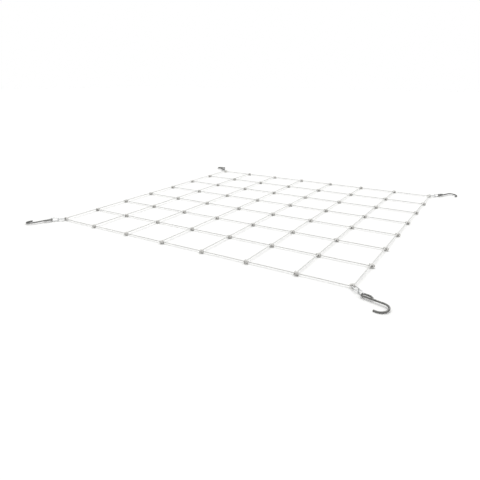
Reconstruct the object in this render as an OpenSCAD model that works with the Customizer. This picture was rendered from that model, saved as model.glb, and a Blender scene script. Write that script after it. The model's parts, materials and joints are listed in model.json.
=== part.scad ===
// Square knotted cord net with a short two-link chain and a steel J hook at each corner.
// Millimetres, +Z up. The net lies flat: the origin is the middle of the net, on the ground that
// the knots rest on. +X runs along the front edge, +Y towards the back edge.

/* [Net] */
// Distance between neighbouring cords, centre to centre
mesh_pitch = 250; // [150:5:350]
// Number of mesh openings along each side
mesh_count = 7; // [4:1:7]
// Diameter of the net cord
cord_d = 5.5; // [4:0.1:8]
// Gap between a cord and the cord that crosses over it
cross_gap = 0.3; // [0.2:0.05:0.6]

/* [Knots] */
// Width of a crossing knot, seen from above
knot_w = 27; // [24:0.5:36]
// Least height of a crossing knot, which rests on the ground
knot_h = 18.5; // [16:0.5:28]
// Least wall of the knot above the upper cord
knot_wall = 1; // [0.5:0.1:4]
// How far the knots along the edges stand out past the border cord
edge_bulge = 3; // [0:0.5:4]
// Clearance between a cord and the knot that grips it
grip_gap = 0.2; // [0.1:0.05:0.4]

/* [Corner eyes] */
// Thickness of the binding that closes a corner eye and takes both border cords
binding_d = 13; // [12:0.5:16]
// How far inside the corner the axis of the eye lies
eye_setback = 1; // [0:0.5:6]
// Clearance between the eye's cord and the chain link inside it
eye_gap = 1.6; // [1.3:0.05:2]

/* [Chain] */
// Diameter of the wire of the chain links
link_d = 5; // [4:0.1:6]
// Length of a link, between the centres of its end wires
link_length = 43.5; // [36:0.5:70]
// Clearance between the eye's two turns of cord and the round end of the link
link_play = 0.22; // [0.2:0.02:0.6]
// Gap between two pieces of the chain where they bear on each other
chain_gap = 0.3; // [0.2:0.05:0.5]

/* [Hook] */
// Diameter of the hook's round bar
hook_d = 8; // [6:0.1:10]
// Free width inside the hook's eye beside the wire of the link
hook_eye_play = 3; // [2.5:0.1:6]
// Length of the straight leg that closes the eye, before it bends in
hook_eye_length = 25; // [18:0.5:36]
// Length over which that leg then runs in to the shank
hook_eye_close = 12; // [9:0.5:16]
// Length of the shank, from the eye's bend to the bowl
hook_shank = 91.4; // [70:0.2:140]
// Radius of the bowl, to the middle of the bar
hook_bowl_r = 32; // [24:0.5:45]
// Length of the straight tip after the bowl
hook_tip = 8; // [2:0.5:14]
// How far each hook lies turned from the net's diagonal, front right, back right, back left
// and front left
hook_slants = [31, 20, 24, 28]; // [0:1:35]

/* [Hidden] */
$fn = 48;
knot_fn = 36;
cord_r = cord_d / 2;
link_r = link_d / 2;
hook_r = hook_d / 2;
half_net = mesh_pitch * mesh_count / 2;
corner_reach = half_net * sqrt(2);
cross_z = cord_r + cross_gap / 2;
// Both links are just wide enough, between the centres of their side wires, for their round end
// to clear the two turns of the eye, and for the hook's bar to pass through. The width is made
// to the nearest 0.05 mm.
eye_turn_y = cord_r + 0.05;
eye_slack = eye_gap - link_play;
turns_reach = (eye_slack ^ 2 + eye_turn_y ^ 2) / (2 * eye_slack);
width_step = 0.05;
needed_width = max(2 * (turns_reach + cord_r + link_play) + link_d, hook_d + link_d + 2);
link_width = round(needed_width / width_step) * width_step;
hook_eye_width = hook_d + link_d + hook_eye_play;
// The upright links rest on the ground, and the cords lie level with their middle, unless the
// cords or the hooks would then be too low. Each knot reaches from the ground to over both cords.
plane_z = max((link_width + link_d) / 2, cross_z + cord_r + 1, hook_r + 1);
knot_top = max(knot_h, plane_z + cross_z + cord_r + grip_gap + knot_wall);

// Cords run along X (lengthwise, lower layer) and along Y (crosswise, upper layer).
inner = [1 : mesh_count - 1];
all_lines = [0 : mesh_count];
function line_at(i) = i * mesh_pitch - half_net;
function is_edge(i) = i == 0 || i == mesh_count;
function outward(i) = i == 0 ? -1 : i == mesh_count ? 1 : 0;
function knot_at(i) = line_at(i) + outward(i) * edge_bulge;
// A cord that ends in an edge knot stops just past the border cord.
cord_end = half_net + cord_r + 3;

// Corner frame: X along the diagonal, out of the net, with its origin at the net's corner.
// The binding lies across the diagonal, behind the link, and the border cords end inside it.
binding_x = -(binding_d / 2 + link_r + eye_setback + 1);
binding_half = -binding_x - 4.5;
border_end = half_net + binding_x * 1.1;
eye_turn_r = link_r + cord_r + eye_gap;

link_1_x = -eye_setback;
link_2_x = link_1_x + link_length - link_d - chain_gap;
hook_pin_x = link_2_x + link_length;
hook_bend_x = hook_eye_width / 2 - (hook_r + link_r + chain_gap);
hook_bowl_x = hook_bend_x + hook_shank;
hook_bowl_y = -hook_eye_width / 2 - hook_bowl_r;
// The eye's closing leg stops just short of the shank.
hook_end_y = -hook_eye_width / 2 + hook_d + 0.6;
// The hook leans about its shank until the bowl's far side and the tip rest on the ground.
hook_lean = asin((plane_z - hook_r) / (hook_eye_width / 2 + 2 * hook_bowl_r));
// A bar swells a little where it is bent sharply.
bend_swell = 0.05;

CORNERS = ["front_right", "back_right", "back_left", "front_left"];
function corner_angle(k) = 90 * k - 45;

// A round bar in the XY plane from point a to point b.
module bar(a, b, r) {
    v = b - a;
    translate(a) rotate([0, 90, atan2(v[1], v[0])]) cylinder(h = norm(v), r = r);
}

// The same with a half-round end at b.
module domed_bar(a, b, r) {
    v = b - a;
    len = norm(v);
    translate(a) rotate([0, 90, atan2(v[1], v[0])]) rotate_extrude() union() {
        square([r, len]);
        translate([0, len]) intersection() {
            circle(r = r);
            square([r, r]);
        }
    }
}

// Part of a ring lying in the XY plane, swept anticlockwise from angle a through sweep.
module ring_part(R, r, a, sweep) {
    rotate([0, 0, a]) rotate_extrude(angle = sweep) translate([R, 0]) circle(r = r);
}

// Places a shape in the corner frame of corner k.
module at_corner(k) {
    rotate([0, 0, corner_angle(k)]) translate([corner_reach, 0, plane_z]) children();
}

// ---- cords -------------------------------------------------------------------------------------

// An inner cord along X, grown by grow all round to cut its channel through the knots.
module long_line(j, grow = 0) {
    translate([-cord_end - grow, line_at(j), plane_z - cross_z]) rotate([0, 90, 0])
        cylinder(h = 2 * (cord_end + grow), r = cord_r + grow);
}

// An inner cord along Y.
module cross_line(i, grow = 0) {
    translate([line_at(i), -cord_end - grow, plane_z + cross_z]) rotate([-90, 0, 0])
        cylinder(h = 2 * (cord_end + grow), r = cord_r + grow);
}

// Border cord k: 0 front, 1 right, 2 back, 3 left. Front and back lie low, left and right high.
module border_line(k, grow = 0) {
    rotate([0, 0, 90 * k])
        translate([-border_end - grow, -half_net, plane_z + (k % 2 == 0 ? -cross_z : cross_z)])
        rotate([0, 90, 0]) cylinder(h = 2 * (border_end + grow), r = cord_r + grow);
}

module border_cord(k) { color("#E4E3DE") border_line(k); }
module long_cord(j) { color("#E4E3DE") long_line(j); }
module cross_cord(i) { color("#E4E3DE") cross_line(i); }

// ---- knots -------------------------------------------------------------------------------------

// The outer shape of one tied knot: a thick round button, its rim as round as its size allows.
module knot_shape() {
    rim_r = min(knot_w, knot_top) / 2;
    core = knot_w / 2 - rim_r;
    rise = knot_top / 2 - rim_r;
    rotate_extrude($fn = knot_fn) union() {
        intersection() {
            union() {
                translate([core, rise]) circle(r = rim_r, $fn = knot_fn);
                if (rise > 0) translate([core, -rise]) circle(r = rim_r, $fn = knot_fn);
            }
            translate([0, -knot_top / 2]) square([knot_w, knot_top]);
        }
        if (core > 0) translate([0, -knot_top / 2]) square([core, knot_top]);
        if (rise > 0) translate([0, -rise]) square([knot_w / 2, 2 * rise]);
    }
}

// The knots along one cord, from left to right. The four corners have an eye instead.
module knots_row(j) {
    columns = is_edge(j) ? [1 : mesh_count - 1] : all_lines;
    color("#B4B3AE") difference() {
        for (i = columns)
            translate([knot_at(i), knot_at(j), knot_top / 2]) knot_shape();
        if (j == 0) border_line(0, grip_gap);
        if (j == mesh_count) border_line(2, grip_gap);
        if (!is_edge(j)) {
            long_line(j, grip_gap);
            border_line(1, grip_gap);
            border_line(3, grip_gap);
        }
        for (i = inner) cross_line(i, grip_gap);
    }
}

// ---- corners -----------------------------------------------------------------------------------

// Two turns of cord round the first chain link, closed by a binding that takes both border cords.
module corner_eye(k) {
    color("#D2D1CB") difference() {
        at_corner(k) {
            for (side = [-1, 1])
                domed_bar([binding_x, 0, 0], [binding_x, side * binding_half, 0], binding_d / 2);
            for (side = [-1, 1])
                translate([link_1_x, side * eye_turn_y, 0]) rotate([90, 0, 0])
                    ring_part(eye_turn_r, cord_r, 0, 360);
        }
        border_line(k, grip_gap);
        border_line((k + 1) % 4, grip_gap);
    }
}

// One oval link lying in the XY plane, from the middle of its inner end wire along X.
module oval_link() {
    R = link_width / 2;
    for (side = [-1, 1])
        bar([R, side * R, 0], [link_length - R, side * R, 0], link_r);
    translate([R, 0, 0]) ring_part(R, link_r, 90, 180);
    translate([link_length - R, 0, 0]) ring_part(R, link_r, -90, 180);
}

module inner_link(k) {
    color("#D9D9D6") at_corner(k) translate([link_1_x, 0, 0]) oval_link();
}

module outer_link(k) {
    color("#D9D9D6") at_corner(k) translate([link_2_x, 0, 0]) rotate([90, 0, 0]) oval_link();
}

// The hook is one bent bar: eye, shank, half-round bowl and straight tip, in one leaning plane.
module hook(k) {
    leg_y = hook_eye_width / 2;
    bowl_end_y = hook_bowl_y - hook_bowl_r;
    tip_x = hook_bowl_x - hook_tip;
    leg_end = [hook_bend_x + hook_eye_length, leg_y, 0];
    eye_end = [hook_bend_x + hook_eye_length + hook_eye_close, hook_end_y, 0];
    color("#6F6F6D") at_corner(k) translate([hook_pin_x, 0, 0]) rotate([hook_lean, 0, hook_slants[k]]) {
        translate([hook_bend_x, 0, 0]) ring_part(leg_y, hook_r, 90, 180);
        bar([hook_bend_x, leg_y, 0], leg_end, hook_r);
        translate(leg_end) sphere(r = hook_r + bend_swell);
        domed_bar(leg_end, eye_end, hook_r);
        bar([hook_bend_x, -leg_y, 0], [hook_bowl_x, -leg_y, 0], hook_r);
        translate([hook_bowl_x, hook_bowl_y, 0]) ring_part(hook_bowl_r, hook_r, -90, 180);
        domed_bar([hook_bowl_x, bowl_end_y, 0], [tip_x, bowl_end_y, 0], hook_r);
    }
}

border_cord(0);  // front_border_cord
border_cord(1);  // right_border_cord
border_cord(2);  // back_border_cord
border_cord(3);  // left_border_cord
for (j = inner) long_cord(j);
for (i = inner) cross_cord(i);
for (j = all_lines) knots_row(j);
for (k = [0 : 3]) corner_eye(k);
for (k = [0 : 3]) inner_link(k);
for (k = [0 : 3]) outer_link(k);
for (k = [0 : 3]) hook(k);
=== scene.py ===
# %% [markdown]
# # A knotted cord net with chain and hooks
#
# This lesson dresses a square net: off-white laid cord, a tied knot wherever two cords cross, and
# at each corner a cord eye, two chain links and a bent steel hook. The CAD model gives the places
# and the main sizes, so nothing has to be fitted by hand. The first cell loads it and keeps its
# parts, whose boxes give the sizes. The finished net has to stay inside that box.

import json
import math

import bpy
import numpy as np
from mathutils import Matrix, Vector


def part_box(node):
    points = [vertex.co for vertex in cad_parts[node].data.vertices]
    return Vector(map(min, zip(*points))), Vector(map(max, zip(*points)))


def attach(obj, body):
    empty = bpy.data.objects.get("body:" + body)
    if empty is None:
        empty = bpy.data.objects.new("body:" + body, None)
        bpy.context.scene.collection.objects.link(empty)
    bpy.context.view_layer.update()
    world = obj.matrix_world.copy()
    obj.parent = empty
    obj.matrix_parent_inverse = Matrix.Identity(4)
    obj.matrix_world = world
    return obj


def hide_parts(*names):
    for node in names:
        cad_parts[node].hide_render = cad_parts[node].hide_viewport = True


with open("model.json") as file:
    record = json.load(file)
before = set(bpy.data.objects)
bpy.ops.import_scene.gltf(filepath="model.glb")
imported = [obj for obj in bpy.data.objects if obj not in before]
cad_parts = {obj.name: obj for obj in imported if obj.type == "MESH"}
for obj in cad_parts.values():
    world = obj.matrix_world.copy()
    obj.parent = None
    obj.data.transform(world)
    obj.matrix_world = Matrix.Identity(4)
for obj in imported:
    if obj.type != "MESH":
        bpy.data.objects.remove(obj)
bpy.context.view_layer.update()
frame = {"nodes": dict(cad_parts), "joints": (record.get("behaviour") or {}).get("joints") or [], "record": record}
MM = 0.001

# %% [markdown]
# ## Measure the net
#
# Cords, knots and links are read off the boxes of their CAD nodes, in metres. Cords along X lie in
# the lower layer and cords along Y lie over them. The net's middle plane is halfway between the two.


# %% Sizes from the frame
def box_of(node):
    """Lowest corner, highest corner and middle of a CAD node, as arrays."""
    low, high = (np.array(corner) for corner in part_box(node))
    return low, high, (low + high) / 2


def lines(first, between, last, axis):
    """Where a set of side-by-side cords lies along one axis, from the first cord to the last."""
    names = [first, *(f"{between}_{i}" for i in INNER), last]
    return [box_of(name)[2][axis] for name in names]


INNER = range(1, 1 + sum(name.startswith("long_cord_") for name in frame["nodes"]))
cord_low, cord_high, cord_middle = box_of("long_cord_1")
CORD_R = (cord_high[2] - cord_low[2]) / 2
PLANE_Z = (cord_middle[2] + box_of("cross_cord_1")[2][2]) / 2
LINES_X = lines("left_border_cord", "cross_cord", "right_border_cord", 0)
LINES_Y = lines("front_border_cord", "long_cord", "back_border_cord", 1)
print("cord radius", round(CORD_R / MM, 2), "mm, mesh", round((LINES_X[1] - LINES_X[0]) / MM, 1), "mm")

# %% [markdown]
# ## One way to make every piece
#
# Cord, wire and bar are all the same idea: a closed profile carried along a path. `carry` works out
# all the points at once as an array of rings, and `add_piece` turns arrays of rings into one mesh.
# The mesh gets a UV map in metres, so that a pattern can follow the cord round its bends, and one
# number per point that the finishes use to darken a place: painted shade where it lies deep, and grime.


# %% Carry a profile along a path
def unit(v):
    """Each vector of an array divided by its length."""
    return v / np.linalg.norm(v, axis=-1, keepdims=True)


def carry(path, axis, radii, angles, twist=0.0, swell=1.0, closed=False):
    """Rings of points: path + swell r (cos(a + twist) side + sin(a + twist) up).

    up is the given axis made square to the path's direction, and side is square to both.
    """
    if closed:
        along = unit(np.roll(path, -1, axis=0) - np.roll(path, 1, axis=0))
    else:
        along = unit(np.gradient(path, axis=0))
    up = np.broadcast_to(np.asarray(axis, float), path.shape)
    up = unit(up - np.sum(up * along, axis=1, keepdims=True) * along)
    side = np.cross(along, up)
    turn = angles[None, :] + np.broadcast_to(twist, len(path))[:, None]
    reach = radii[None, :] * np.broadcast_to(swell, len(path))[:, None]
    sideways = (reach * np.cos(turn))[..., None] * side[:, None]
    upwards = (reach * np.sin(turn))[..., None] * up[:, None]
    return path[:, None] + (sideways + upwards)


def run_length(path):
    """Distance along a path from its first point to each point."""
    steps = np.linalg.norm(np.diff(path, axis=0), axis=1)
    return np.concatenate([[0.0], np.cumsum(steps)])


# %% [markdown]
# A grid of rings becomes quads. An open tube gets a flat polygon at each end, and a closed one runs
# its last ring into its first. The faces are listed so that their outer side faces away from the path.


# %% Rings to a mesh
def quads_of(rings, sides, closed):
    """Corner numbers of the quads of a grid that is closed round its sides."""
    i = np.arange(rings if closed else rings - 1)[:, None]
    j = np.arange(sides)[None, :]
    here, there = i * sides, (i + 1) % rings * sides
    after = (j + 1) % sides
    corners = np.stack(np.broadcast_arrays(here + j, there + j, there + after, here + after), axis=-1)
    return corners.reshape(-1, 4)


def add_piece(name, tubes, body, stands_for, material):
    """One mesh from several tubes. A tube is (rings, length along, girth, depth, closed)."""
    points, faces, uvs, depths, first = [], [], [], [], 0
    for rings, length, girth, depth, closed in tubes:
        count, sides = rings.shape[:2]
        quads = quads_of(count, sides, closed)
        step = length[-1] / max(count - 1, 1)
        row, column = np.divmod(quads[:, 0], sides)
        v0 = length[row]
        v1 = np.where(row + 1 < count, length[(row + 1) % count], length[-1] + step)
        u0, u1 = column / sides * girth, (column + 1) / sides * girth
        uvs.append(np.stack([u0, v0, u0, v1, u1, v1, u1, v0], axis=1).reshape(-1, 2))
        faces += (quads + first).tolist()
        if not closed:
            ends = [np.arange(sides), (count - 1) * sides + np.arange(sides)[::-1]]
            faces += [(end + first).tolist() for end in ends]
            uvs += [np.zeros((sides, 2))] * 2
        points.append(rings.reshape(-1, 3))
        depths.append(np.broadcast_to(depth, (count, sides)).ravel())
        first += count * sides
    mesh = bpy.data.meshes.new(name)
    mesh.from_pydata(np.concatenate(points).tolist(), [], faces)
    uv_map = mesh.uv_layers.new(name="UVMap")
    uv_map.data.foreach_set("uv", np.concatenate(uvs).astype(np.float32).ravel())
    layer = mesh.attributes.new("depth", "FLOAT", "POINT")
    layer.data.foreach_set("value", np.concatenate(depths).astype(np.float32))
    mesh.shade_smooth()
    mesh.materials.append(material)
    piece = bpy.data.objects.new(name, mesh)
    bpy.context.scene.collection.objects.link(piece)
    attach(piece, body)
    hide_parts(stands_for)
    return piece


# %% [markdown]
# ## Finishes
#
# Colours are written as sRGB hex, as a paint card gives them, and turned to the linear values that
# the renderer works in. A single helper adds a node, sets it and links it.


# %% Colour and node helpers
def linear(hex_code):
    """sRGB hex to linear RGBA: c / 12.92 below 0.04045, else ((c + 0.055) / 1.055) ** 2.4."""
    parts = [int(hex_code[i : i + 2], 16) / 255 for i in (1, 3, 5)]
    return (*(c / 12.92 if c <= 0.04045 else ((c + 0.055) / 1.055) ** 2.4 for c in parts), 1.0)


def add_node(tree, kind, inputs=None, **settings):
    """Adds a node, sets its properties, then fills its inputs with values or links."""
    node = tree.nodes.new(kind)
    for key, value in settings.items():
        setattr(node, key, value)
    for key, value in (inputs or {}).items():
        if isinstance(value, bpy.types.NodeSocket):
            tree.links.new(value, node.inputs[key])
        else:
            node.inputs[key].default_value = value
    return node


def new_material(name, **constants):
    """A material with its Principled shader's own sockets set. Returns all three."""
    material = bpy.data.materials.new(name)
    material.use_nodes = True
    tree = material.node_tree
    shader = tree.nodes["Principled BSDF"]
    for key, value in constants.items():
        shader.inputs[key.replace("_", " ").title()].default_value = value
    return material, tree, shader


# A wave node's bands repeat every pi / 10 of its input at scale 1.
BAND = math.pi / 10
# A mix node's sockets for colours, which share their names with those for numbers.
MIX_A, MIX_B, MIX_OUT = 6, 7, 2

# %% [markdown]
# The cord is twisted polyester: matt, slightly sheeny, off-white, with fine yarns that run across
# each strand, and painted shade in the grooves between strands. A yarn is about half a millimetre wide.
# The depth number on each point, which is painted shade and grime, and a noise in soft patches of
# grime add up to how dark a place is, and that mixes the two colours. The yarns are too fine for the
# mesh, so they are a bump.


# %% Cord finish
# How much the patches change the tone, and what brings an average patch back to no change.
PATCHY, PATCHY_MIDDLE = 0.35, -0.17
YARN_SLANT = math.radians(35)
YARN_DEPTH = 0.15 * MM


def cord_finish(name, crown, groove, yarn=0.5 * MM, patch=30 * MM):
    """Laid cord: crown colour on the strands, groove colour as painted shade between them and in grime patches,
    yarns as bump.
    """
    material, tree, shader = new_material(name, roughness=0.72, sheen_weight=0.25, sheen_roughness=0.5)
    place = add_node(tree, "ShaderNodeTexCoord")
    deep = add_node(tree, "ShaderNodeAttribute", attribute_name="depth")
    grime_and_shade = add_node(
        tree, "ShaderNodeTexNoise",
        {"Vector": place.outputs["Object"], "Scale": 1 / patch, "Detail": 3.0},
    )
    patchy_grime_and_shade = add_node(
        tree, "ShaderNodeMath",
        {0: grime_and_shade.outputs["Fac"], 1: PATCHY, 2: deep.outputs["Fac"]},
        operation="MULTIPLY_ADD",
    )
    evened_out = add_node(
        tree, "ShaderNodeMath",
        {0: patchy_grime_and_shade.outputs[0], 1: PATCHY_MIDDLE},
        operation="ADD", use_clamp=True,
    )
    colours = {0: evened_out.outputs[0], MIX_A: linear(crown), MIX_B: linear(groove)}
    tone = add_node(tree, "ShaderNodeMix", colours, data_type="RGBA")
    tree.links.new(tone.outputs[MIX_OUT], shader.inputs["Base Color"])
    slant = add_node(
        tree, "ShaderNodeMapping",
        {"Vector": place.outputs["UV"], "Rotation": (0, 0, YARN_SLANT)},
    )
    yarns = add_node(
        tree, "ShaderNodeTexWave",
        {"Vector": slant.outputs[0], "Scale": BAND / yarn, "Distortion": 0.4, "Detail": 1.0},
    )
    bump = add_node(
        tree, "ShaderNodeBump",
        {"Height": yarns.outputs["Fac"], "Strength": 0.5, "Distance": YARN_DEPTH},
    )
    tree.links.new(bump.outputs[0], shader.inputs["Normal"])
    return material


# The second colour of each cord is painted shade in its grooves, and the colour of its grime patches.
net_cord = cord_finish("twisted_polyester_cord", "#E8E8E6", "#D9D9D6")
# The knot cord has painted shade in its grooves, darkest at the tight ends of its turns.
knot_cord = cord_finish("knot_cord_with_painted_shade", "#EDECE9", "#CBCAC6")
eye_cord = cord_finish("whipped_eye_cord", "#ECEBE8", "#CFCECA")
print("cord finishes:", [m.name for m in (net_cord, knot_cord, eye_cord)])

# %% [markdown]
# The chain is zinc-plated steel: bright, nearly white, with cloudy spangle a few millimetres across.
# The hook is steel that was blackened and then rubbed: darker, smooth, with fine draw lines that
# run along the bar and let the light slide round the bends.


# %% Steel finishes
# Draw lines are a noise stretched twenty times along the bar, and a tenth of a millimetre deep.
LINE_STRETCH = 1 / 20
LINE_DEPTH = 0.1 * MM


def steel_finish(name, light, dark, roughness, cloud, line=0.0):
    """Metal between two tones in clouds of a given size, with draw lines along the bar as bump."""
    material, tree, shader = new_material(name, metallic=1.0)
    place = add_node(tree, "ShaderNodeTexCoord")
    clouds = add_node(
        tree, "ShaderNodeTexNoise",
        {"Vector": place.outputs["Object"], "Scale": 1 / cloud, "Detail": 4.0, "Roughness": 0.6},
    )
    sharper = add_node(
        tree, "ShaderNodeMapRange",
        {0: clouds.outputs["Fac"], 1: 0.35, 2: 0.65, 3: 0.0, 4: 1.0},
    )
    colours = {0: sharper.outputs[0], MIX_A: linear(light), MIX_B: linear(dark)}
    tone = add_node(tree, "ShaderNodeMix", colours, data_type="RGBA")
    tree.links.new(tone.outputs[MIX_OUT], shader.inputs["Base Color"])
    rough = add_node(
        tree, "ShaderNodeMapRange",
        {0: clouds.outputs["Fac"], 1: 0.3, 2: 0.7, 3: roughness * 0.8, 4: roughness * 1.3},
    )
    tree.links.new(rough.outputs[0], shader.inputs["Roughness"])
    if line:
        stretch = add_node(
            tree, "ShaderNodeMapping",
            {"Vector": place.outputs["UV"], "Scale": (1, LINE_STRETCH, 1)},
        )
        lines = add_node(
            tree, "ShaderNodeTexNoise",
            {"Vector": stretch.outputs[0], "Scale": 1 / line, "Detail": 2.0},
        )
        bump = add_node(
            tree, "ShaderNodeBump",
            {"Height": lines.outputs["Fac"], "Strength": 0.25, "Distance": LINE_DEPTH},
        )
        tree.links.new(bump.outputs[0], shader.inputs["Normal"])
    return material


link_steel = steel_finish("zinc_plated_steel", "#EDEEEE", "#CFD0D0", 0.36, 4 * MM)
hook_steel = steel_finish("blackened_rubbed_steel", "#8B8B89", "#636361", 0.26, 9 * MM, line=0.8 * MM)
print("steel finishes:", [m.name for m in (link_steel, hook_steel)])

# %% [markdown]
# ## Cords
#
# A laid cord is three strands twisted together. Cut across, it shows three lobes that meet in sharp
# valleys. Carrying that outline along the cord while it turns gives real strands, so the twist
# shows in the outline and in the shadows and not only in the finish.


# %% Laid cord
# Lay is the length of one full turn, in cord diameters. Groove is its depth as a share of the radius.
STRANDS, LAY_PER_D, GROOVE = 3, 2.6, 0.18
# How much painted shade darkens the bottom of a groove, from 0 to 1.
GROOVE_SHADE = 0.8
SIDES, RINGS_PER_TURN = 18, 10
angles = np.arange(SIDES) / SIDES * 2 * math.pi
lobe = np.abs(np.cos(STRANDS * angles / 2))


def laid_cord(path, axis, radius, closed=False, turns=None, swell=1.0, grime_and_shade=0.0):
    """A tube whose radius is r (1 - groove (1 - |cos(3 a / 2)|)), turning once in each lay length."""
    length = run_length(path)
    lay = LAY_PER_D * 2 * radius
    total = length[-1] + (np.linalg.norm(path[0] - path[-1]) if closed else 0.0)
    turns = total / lay if turns is None else turns
    twist = length / total * turns * 2 * math.pi
    rings = carry(path, axis, radius * (1 - GROOVE * (1 - lobe)), angles, twist, swell, closed)
    # Painted shade in the grooves between strands, plus the darkening that the caller gives.
    depth = (1 - lobe)[None, :] * GROOVE_SHADE + np.broadcast_to(grime_and_shade, len(path))[:, None]
    return rings, length, 2 * math.pi * radius, depth, closed


def straight_cord(low, high, along):
    """The path of a straight cord: evenly spaced points between the ends of its CAD box."""
    middle = (low + high) / 2
    start, end = middle.copy(), middle.copy()
    start[along], end[along] = low[along], high[along]
    lay = LAY_PER_D * 2 * CORD_R
    count = int(round((end - start)[along] / lay * RINGS_PER_TURN)) + 1
    return start + (end - start) * np.linspace(0, 1, count)[:, None]


# The axis that each cord runs along: 0 is X and 1 is Y.
CORDS = {f"{side}_border_cord": 0 for side in ("front", "back")}
CORDS |= {f"{side}_border_cord": 1 for side in ("left", "right")}
CORDS |= {f"long_cord_{i}": 0 for i in INNER} | {f"cross_cord_{i}": 1 for i in INNER}
for node, along in CORDS.items():
    low, high, _ = box_of(node)
    tube = laid_cord(straight_cord(low, high, along), (0, 0, 1), CORD_R)
    add_piece(f"{node}_laid", [tube], "net", node, net_cord)
print(len(CORDS), "cords of", STRANDS, "strands")

# %% [markdown]
# ## Knots
#
# Where two cords cross, a length of the same cord is lashed round them: three turns side by side
# one way, and one turn the other way that is squeezed beneath them. Each turn is an oval standing
# on edge. The knots carry painted shade, most of all at the tight ends, and that is a number along
# the path which the finish reads. Knots on the border sit a little further out, turn towards the
# edge, and keep a short tail. All the turns are one function with other sizes, because a knot that
# is drawn turn by turn catches the light like real cord, and a sculpted lump would not.


# %% Knot paths
KNOT_STEPS = 26
knot_low, knot_high, knot_middle = box_of("knots_row_0")
KNOT_HALF_W = (knot_high[1] - knot_low[1]) / 2
KNOT_HALF_H, KNOT_Z = (knot_high[2] - knot_low[2]) / 2, knot_middle[2]
BULGE = LINES_Y[0] - knot_middle[1]
# The turn beneath, as shares of the knot's half width and half height.
UNDER_W, UNDER_H = 0.75, 0.5
TURN_GAP = 1.9 * CORD_R
# Painted shade at the knots' tight ends, and even grime on their tails.
KNOT_END_SHADE, TAIL_SOIL = 0.45, 0.2
TAIL_STEPS, TAIL_R, TAIL_ARCH = 12, CORD_R * 0.9, 4 * MM


def oval_turns(half_long, half_high, turns, gap):
    """Points x = -a sin t, y = g (t / 2 pi - n / 2), z = -b cos t: up from underneath, n times round.

    The second array is |sin t|, which is 1 at the oval's tight ends and 0 above and below the cords.
    """
    t = np.linspace(0, turns * 2 * math.pi, KNOT_STEPS * turns + 1)
    x, z = half_long * np.sin(-t), -half_high * np.cos(t)
    y = gap * (t / (2 * math.pi) - turns / 2)
    return np.stack([x, y, z], axis=1), np.abs(np.sin(t))


def turned(points, angle, centre):
    """Points turned about Z by an angle and moved to a centre."""
    c, s = math.cos(angle), math.sin(angle)
    return points @ np.array([[c, s, 0], [-s, c, 0], [0, 0, 1]]) + centre


def tied_knot(centre, lead, tail):
    """The tubes of one knot whose three long turns lie along the lead angle.

    A tail rises from the middle as centre + s tail + arch s (1 - s), and both its ends are rounded.
    """
    long_turns, tight = oval_turns(KNOT_HALF_W - CORD_R, KNOT_HALF_H - CORD_R, 3, TURN_GAP)
    across, tight_across = oval_turns(KNOT_HALF_W * UNDER_W, KNOT_HALF_H * UNDER_H, 1, 0.0)
    parts = [(long_turns, tight, lead), (across, tight_across, lead + math.pi / 2)]
    tubes = []
    for points, end_shade_mask, angle in parts:
        path = turned(points, angle, centre)
        axis = turned(np.array([[0.0, 1.0, 0.0]]), angle, 0.0)[0]
        # Painted shade, strongest at the tight ends of each oval.
        tubes.append(laid_cord(path, axis, CORD_R, grime_and_shade=KNOT_END_SHADE * end_shade_mask**3))
    if tail is not None:
        s = np.linspace(0, 1, TAIL_STEPS)[:, None]
        path = centre + s * tail + np.array([0, 0, 1]) * (s - s**2) * TAIL_ARCH
        rounded = np.sqrt(np.clip(1 - np.linspace(-1, 1, TAIL_STEPS) ** 8, 0.02, 1))
        tubes.append(laid_cord(path, (0, 0, 1), TAIL_R, swell=rounded, grime_and_shade=TAIL_SOIL))
    return tubes


INNER_LEAD, SIDE_LEAD, FRONT_LEAD = (math.radians(a) for a in (-28, -15, -60))
TAIL_SLANT, TAIL_RISE, TAIL_REACH = 0.7, 0.35, 1.1 * KNOT_HALF_W
last = len(LINES_X) - 1
for j, y in enumerate(LINES_Y):
    tubes = []
    for i, x in enumerate(LINES_X):
        out_x, out_y = ((k == last) * 1 - (k == 0) * 1 for k in (i, j))
        if out_x and out_y:
            continue
        lead = SIDE_LEAD if out_x else FRONT_LEAD if out_y else INNER_LEAD
        centre = np.array([x + out_x * BULGE, y + out_y * BULGE, KNOT_Z])
        tail = None
        if out_x or out_y:
            tail = TAIL_REACH * np.array([
                -out_x - TAIL_SLANT * abs(out_y),
                -out_y + TAIL_SLANT * abs(out_x),
                TAIL_RISE,
            ])
        tubes += tied_knot(centre, lead, tail)
    row = add_piece(f"knots_row_{j}_tied", tubes, "net", f"knots_row_{j}", knot_cord)
print(len(LINES_Y), "rows of knots,", len(row.data.polygons), "faces in the last")

# %% [markdown]
# ## Corners
#
# At each corner both border cords are bound together, and two turns of cord make an eye that holds
# the chain. The joints say where everything is: the inner link lifts about its end wire in the eye,
# the outer link about the wire where the two links meet, and the hook about the outer end wire. The
# corner's own frame has X along the net's diagonal, out of the net.

# %% Corner frames
CORNERS = ["front_right", "back_right", "back_left", "front_left"]
PIVOT = {joint["name"]: np.array(joint["pos_m"]) for joint in frame["joints"]}
MOUNT = {mount["name"]: mount for mount in frame["record"]["mounts"]}


def corner_frame(corner):
    """Rows: out along the diagonal, to the side anticlockwise, and up."""
    out = unit(PIVOT[f"inner_link_lift_{corner}"] * [1, 1, 0])
    return np.array([out, [-out[1], out[0], 0], [0, 0, 1]])


def placed(local, corner, origin):
    """Local points carried into the corner's frame at an origin."""
    return local @ corner_frame(corner) + origin


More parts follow.
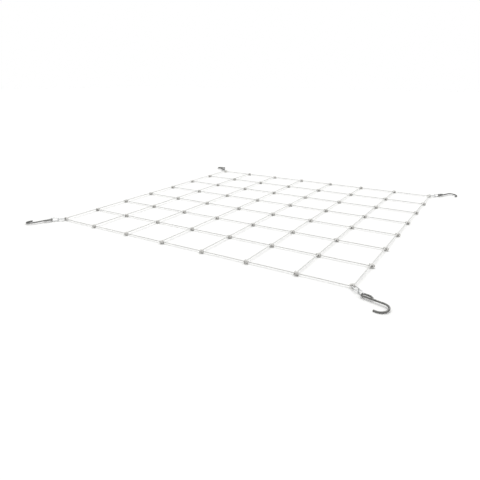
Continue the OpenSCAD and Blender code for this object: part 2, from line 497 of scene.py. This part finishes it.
link_low, link_high, _ = box_of("inner_link_front_right")
WIRE_R = (link_high[2] - link_low[2]) / 2
upright_low, upright_high, _ = box_of("outer_link_front_right")
LINK_W = upright_high[2] - upright_low[2] - 2 * WIRE_R
LINK_L = np.linalg.norm(PIVOT["outer_link_lift_front_right"] - PIVOT["inner_link_lift_front_right"])
link_sizes = [round(float(size) / MM, 1) for size in (2 * WIRE_R, LINK_L, LINK_W)]
print("link wire, length and width in mm:", link_sizes)

# %% [markdown]
# The eye is two closed rings of laid cord round the link's wire. The binding behind them is a
# sausage of whipping twine: its radius is a rounded outline plus a small ridge for each turn, and
# the ridges climb like a screw thread because the turns are one long piece of twine.


# %% Corner eyes
# The eye's turns lie round the wire with some play, one on each side of the diagonal.
EYE_R = WIRE_R + CORD_R + 1.6 * MM
EYE_SIDE = CORD_R + 0.05 * MM
EYE_STEPS, EYE_LAYS, EYE_SOIL = 48, 3, 0.15
# The binding's radius, half its straight length, and its place along the diagonal from the corner.
BIND_R, BIND_HALF, BIND_X = 6.5 * MM, 6.5 * MM, -11 * MM
# The twine's thickness, and the depth between its turns as a share of the binding's radius.
TWINE, TWINE_GROOVE = 2.1 * MM, 0.14


def eye_ring(corner, side):
    """A closed ring of laid cord standing across the link's end wire."""
    t = np.linspace(0, 2 * math.pi, EYE_STEPS, endpoint=False)
    local = np.stack([EYE_R * np.cos(t), np.full_like(t, side * EYE_SIDE), EYE_R * np.sin(t)], axis=1)
    path = placed(local, corner, PIVOT[f"inner_link_lift_{corner}"])
    axis = corner_frame(corner)[1]
    return laid_cord(path, axis, CORD_R, closed=True, turns=EYE_LAYS, grime_and_shade=EYE_SOIL)


def binding(corner, count=130, sides=32):
    """Sausage along y: r = dome(y) (1 - groove (1 - |sin(pi (y / twine + a / 2 pi))|))."""
    a = np.arange(sides) / sides * 2 * math.pi
    # The first and last ring stay just short of the tips, where the radius would be zero.
    tip = (BIND_HALF + BIND_R) * 0.998
    y = tip * np.sin(np.linspace(-1, 1, count) * math.pi / 2)
    past = np.clip(np.abs(y) - BIND_HALF, 0, None)
    dome = np.sqrt(BIND_R**2 - past**2)[:, None]
    ridge = np.abs(np.sin(math.pi * (y[:, None] / TWINE + a[None, :] / (2 * math.pi))))
    reach = dome * (1 - TWINE_GROOVE * (1 - ridge))
    along = np.broadcast_to(y[:, None], reach.shape)
    local = np.stack([BIND_X + reach * np.cos(a), along, reach * np.sin(a)], axis=-1)
    corner_point = corner_frame(corner)[0] * math.hypot(LINES_X[-1], LINES_Y[-1]) + [0, 0, PLANE_Z]
    rings = placed(local, corner, corner_point)[:, ::-1]
    # The depth number is painted shade between the twine's turns, on top of an even 0.25 everywhere.
    return rings, y - y[0], 2 * math.pi * BIND_R, 0.25 + 0.75 * (1 - ridge[:, ::-1]), False


for corner in CORNERS:
    tubes = [binding(corner), eye_ring(corner, -1), eye_ring(corner, 1)]
    node = f"corner_eye_{corner}"
    add_piece(f"{node}_whipped", tubes, "net", node, eye_cord)
print(len(CORNERS), "corner eyes")

# %% [markdown]
# ## Chain
#
# A link is one wire bent to an oval and welded shut in the middle of a long side. The outline is
# two half circles joined by straight runs, and the weld is a slight swelling.


# %% Links
WIRE_SIDES = 20
# The weld: its place as a share of the way round, half its length, and its swelling.
WELD_AT, WELD_HALF, WELD_SWELL = 0.07, 1.6 * MM, 0.08
wire_angles = np.arange(WIRE_SIDES) / WIRE_SIDES * 2 * math.pi
round_wire = np.ones(WIRE_SIDES)


def oval(length, width, arc_steps=28, straight_steps=14):
    """Closed outline in XY from (0, 0): straight, half circle, straight, half circle."""
    r = width / 2
    t = np.linspace(0, math.pi, arc_steps, endpoint=False)
    s = np.linspace(0, 1, straight_steps, endpoint=False)
    run = length - 2 * r
    far = np.stack([length - r + r * np.sin(t), -r * np.cos(t)], axis=1)
    near = np.stack([r - r * np.sin(t), r * np.cos(t)], axis=1)
    there = np.stack([r + run * s, np.full_like(s, -r)], axis=1)
    back = np.stack([length - r - run * s, np.full_like(s, r)], axis=1)
    flat = np.concatenate([there, far, back, near])
    return np.column_stack([flat, np.zeros(len(flat))])


def link_tube(corner, pivot, upright):
    """The oval carried in the corner's frame, lying flat or standing on edge.

    The weld swells the wire's radius by the factor 1 + swell exp(-(d / half)^2), d along the wire.
    """
    local = oval(LINK_L, LINK_W)
    length = run_length(local)
    from_weld = (length - length[-1] * WELD_AT) / WELD_HALF
    swell = 1 + WELD_SWELL * np.exp(-(from_weld**2))
    if upright:
        local = local[:, [0, 2, 1]] * [1, -1, 1]
    axis = corner_frame(corner)[1 if upright else 2]
    path = placed(local, corner, pivot)
    rings = carry(path, axis, round_wire * WIRE_R, wire_angles, swell=swell, closed=True)
    return rings, length, 2 * math.pi * WIRE_R, 0.0, True


for corner in CORNERS:
    out = corner_frame(corner)[0]
    starts = {
        "inner_link": PIVOT[f"inner_link_lift_{corner}"],
        "outer_link": PIVOT[f"hook_swing_{corner}"] - out * LINK_L,
    }
    for kind, start in starts.items():
        node = f"{kind}_{corner}"
        tube = link_tube(corner, start, kind == "outer_link")
        add_piece(f"{node}_wire", [tube], node, node, link_steel)
print("8 links of", len(tube[0]) * WIRE_SIDES, "points")

# %% [markdown]
# ## Hooks
#
# Each hook is one round bar bent cold. The path runs from the closing leg of the eye, round the
# eye, down the shank, round the half-circle bowl and out to the tip. Bends made over a tool are
# never sharp, so the path is averaged over a few millimetres, and both ends are rounded over. The
# hook leans until its bowl rests on the floor, so its plane is taken from the mount in the bowl.


# %% Hook path
BOWL = MOUNT["hook_bowl_front_right"]
BAR_R = BOWL["dims"]["length_mm"] / 2 * MM
BOWL_R = BOWL["dims"]["r_mm"] * MM + BAR_R
# The eye's half width, its straight leg, the length that closes it, and the gap left at its end.
EYE_HALF, EYE_LEG, EYE_CLOSE, EYE_END_GAP = 8 * MM, 25 * MM, 12 * MM, 0.6 * MM
PIVOT_PLAY = 0.3 * MM
TIP = 8 * MM
# The bar's points are a step apart, and each is the mean of this many neighbours.
PATH_STEP, BEND_AVERAGE = 0.9 * MM, 5
BEND_X = EYE_HALF - (BAR_R + WIRE_R + PIVOT_PLAY)


def arc(centre, radius, start, end, steps):
    """Points centre + radius (cos t, sin t) with t from start to end in degrees."""
    t = np.radians(np.linspace(start, end, steps))
    return np.stack([centre[0] + radius * np.cos(t), centre[1] + radius * np.sin(t)], axis=1)


def evened(path, step):
    """The same path with its points a step apart."""
    length = run_length(path)
    at = np.linspace(0, length[-1], int(length[-1] / step) + 1)
    return np.stack([np.interp(at, length, path[:, k]) for k in range(path.shape[1])], axis=1)


def hook_path():
    """The bar's middle line in the hook's own plane, with its origin at the pivot."""
    bowl_y = -EYE_HALF - BOWL_R
    reach = np.linalg.norm(np.array(BOWL["pos_m"]) - PIVOT["hook_swing_front_right"])
    bowl_x = math.sqrt(reach**2 - bowl_y**2)
    leg_x = BEND_X + EYE_LEG
    end_y = -EYE_HALF + 2 * BAR_R + EYE_END_GAP
    closing_leg = np.array([[leg_x + EYE_CLOSE, end_y], [leg_x, EYE_HALF]])
    closing_leg[0] += unit(closing_leg[0] - closing_leg[1]) * BAR_R
    tip = np.array([[bowl_x - TIP - BAR_R, bowl_y - BOWL_R]])
    flat = np.concatenate([
        closing_leg,
        arc((BEND_X, 0), EYE_HALF, 90, 270, 40),
        arc((bowl_x, bowl_y), BOWL_R, 90, -90, 80),
        tip,
    ])
    path = evened(flat, PATH_STEP)
    window = np.ones(BEND_AVERAGE) / BEND_AVERAGE
    smooth = np.stack([np.convolve(path[:, k], window, mode="valid") for k in range(2)], axis=1)
    kept = BEND_AVERAGE // 2
    path = np.concatenate([path[:kept], smooth, path[-kept:]])
    return np.column_stack([path, np.zeros(len(path))]), np.array([bowl_x, bowl_y])


def hook_frame(corner):
    """Rows: along the shank, across it in the hook's own plane, and the plane's normal.

    The bowl's centre is at (a, b) in the hook's plane and at t from the pivot in the world. With
    s = normal x t, shank = (a t - b s) / (a^2 + b^2) and across = (b t + a s) / (a^2 + b^2).
    """
    mount = MOUNT[f"hook_bowl_{corner}"]
    normal = unit(np.array(mount["axis"]))
    t = np.array(mount["pos_m"]) - PIVOT[f"hook_swing_{corner}"]
    s = np.cross(normal, t)
    a, b = bowl
    shank = (a * t - b * s) / (a * a + b * b)
    across = (b * t + a * s) / (a * a + b * b)
    return np.array([shank, across, normal])


middle_line, bowl = hook_path()
bar_length = run_length(middle_line)[-1]
print("hook bar", round(2 * BAR_R / MM, 2), "mm thick,", round(bar_length / MM), "mm long")

# %% Hooks
for corner in CORNERS:
    pivot = PIVOT[f"hook_swing_{corner}"]
    path = middle_line @ hook_frame(corner) + pivot
    length = run_length(path)
    # Within one bar radius of either end the bar narrows like a quarter circle.
    to_end = np.minimum(length, length[-1] - length)
    dome = np.sqrt(np.clip(1 - (1 - np.clip(to_end / BAR_R, 0, 1)) ** 2, 0.003, 1))
    rings = carry(path, hook_frame(corner)[2], round_wire * BAR_R, wire_angles, swell=dome)
    tube = (rings, length, 2 * math.pi * BAR_R, 0.0, False)
    node = f"hook_{corner}"
    add_piece(f"{node}_bar", [tube], node, node, hook_steel)
print(len(CORNERS), "hooks")

# %% [markdown]
# ## Studio
#
# The net lies on a plain white floor under one very large, soft light from behind, which leaves the
# near side of each cord a little darker and its shadow faint. The room is bright overhead and dimmer
# near the floor, so that steel has something to mirror. The camera sees the room as plain white.
# The floor itself comes out just at white: any brighter, and it would eat the edges of thin cords.

# %% Floor and light
# The room's brightness at the horizon and overhead.
ROOM_LOW, ROOM_TOP = 0.25, 0.97
# The key light's strength, its width across the sky, its lean from overhead and its turn, in degrees.
KEY_POWER, KEY_SOFTNESS, KEY_TILT, KEY_TURN = 1.45, 75.0, 24.0, 11.0

white, tree, shader = new_material("matt_white_floor", roughness=0.9)
shader.inputs["Base Color"].default_value = linear("#F4F4F3")
FLOOR_R = 40.0
corners = [(x * FLOOR_R, y * FLOOR_R, 0) for x, y in ((-1, -1), (1, -1), (1, 1), (-1, 1))]
floor_mesh = bpy.data.meshes.new("floor")
floor_mesh.from_pydata(corners, [], [(0, 1, 2, 3)])
floor_mesh.materials.append(white)
floor = bpy.data.objects.new("floor", floor_mesh)
bpy.context.scene.collection.objects.link(floor)

world = bpy.data.worlds.new("studio")
world.use_nodes = True
tree = world.node_tree
sky = add_node(tree, "ShaderNodeTexCoord")
height = add_node(tree, "ShaderNodeSeparateXYZ", {0: sky.outputs["Generated"]})
glow = add_node(
    tree, "ShaderNodeMapRange",
    {0: height.outputs[2], 1: 0.0, 2: 1.0, 3: ROOM_LOW, 4: ROOM_TOP},
)
room = add_node(tree, "ShaderNodeBackground", {"Strength": glow.outputs[0]})
room.inputs["Color"].default_value = (1, 1, 1, 1)
backdrop = add_node(tree, "ShaderNodeBackground", {"Color": (1, 1, 1, 1), "Strength": 1.0})
ray = add_node(tree, "ShaderNodeLightPath")
seen = add_node(
    tree, "ShaderNodeMixShader",
    {0: ray.outputs["Is Camera Ray"], 1: room.outputs[0], 2: backdrop.outputs[0]},
)
tree.links.new(seen.outputs[0], tree.nodes["World Output"].inputs["Surface"])
bpy.context.scene.world = world

sun = bpy.data.lights.new("soft_key", "SUN")
sun.energy, sun.angle = KEY_POWER, math.radians(KEY_SOFTNESS)
key = bpy.data.objects.new("soft_key", sun)
key.rotation_euler = (math.radians(-KEY_TILT), 0, math.radians(KEY_TURN))
bpy.context.scene.collection.objects.link(key)
bpy.context.scene.view_settings.view_transform = "Standard"

# %% [markdown]
# ## Camera
#
# The camera looks down at the net from about twenty degrees above the floor, beyond the front right
# edge. Its place is an azimuth, an elevation and a distance from the point that it looks at.

# %% Camera
AZIMUTH, ELEVATION, ROLL = (math.radians(a) for a in (31.296, 19.773, -0.165))
LOOK_AT = np.array([197.2, -643.7, 9.0]) * MM
DISTANCE = 2297.2 * MM
LENS_MM = 33.2

camera_data = bpy.data.cameras.new("camera")
camera_data.lens, camera_data.sensor_width = LENS_MM, 36.0
camera = bpy.data.objects.new("camera", camera_data)
back = np.array([
    math.sin(AZIMUTH) * math.cos(ELEVATION),
    -math.cos(AZIMUTH) * math.cos(ELEVATION),
    math.sin(ELEVATION),
])
camera.location = LOOK_AT + DISTANCE * back
camera.rotation_euler = (math.pi / 2 - ELEVATION, ROLL, AZIMUTH)
camera_data.clip_start, camera_data.clip_end = 0.05, 200.0
bpy.context.scene.collection.objects.link(camera)
bpy.context.scene.camera = camera
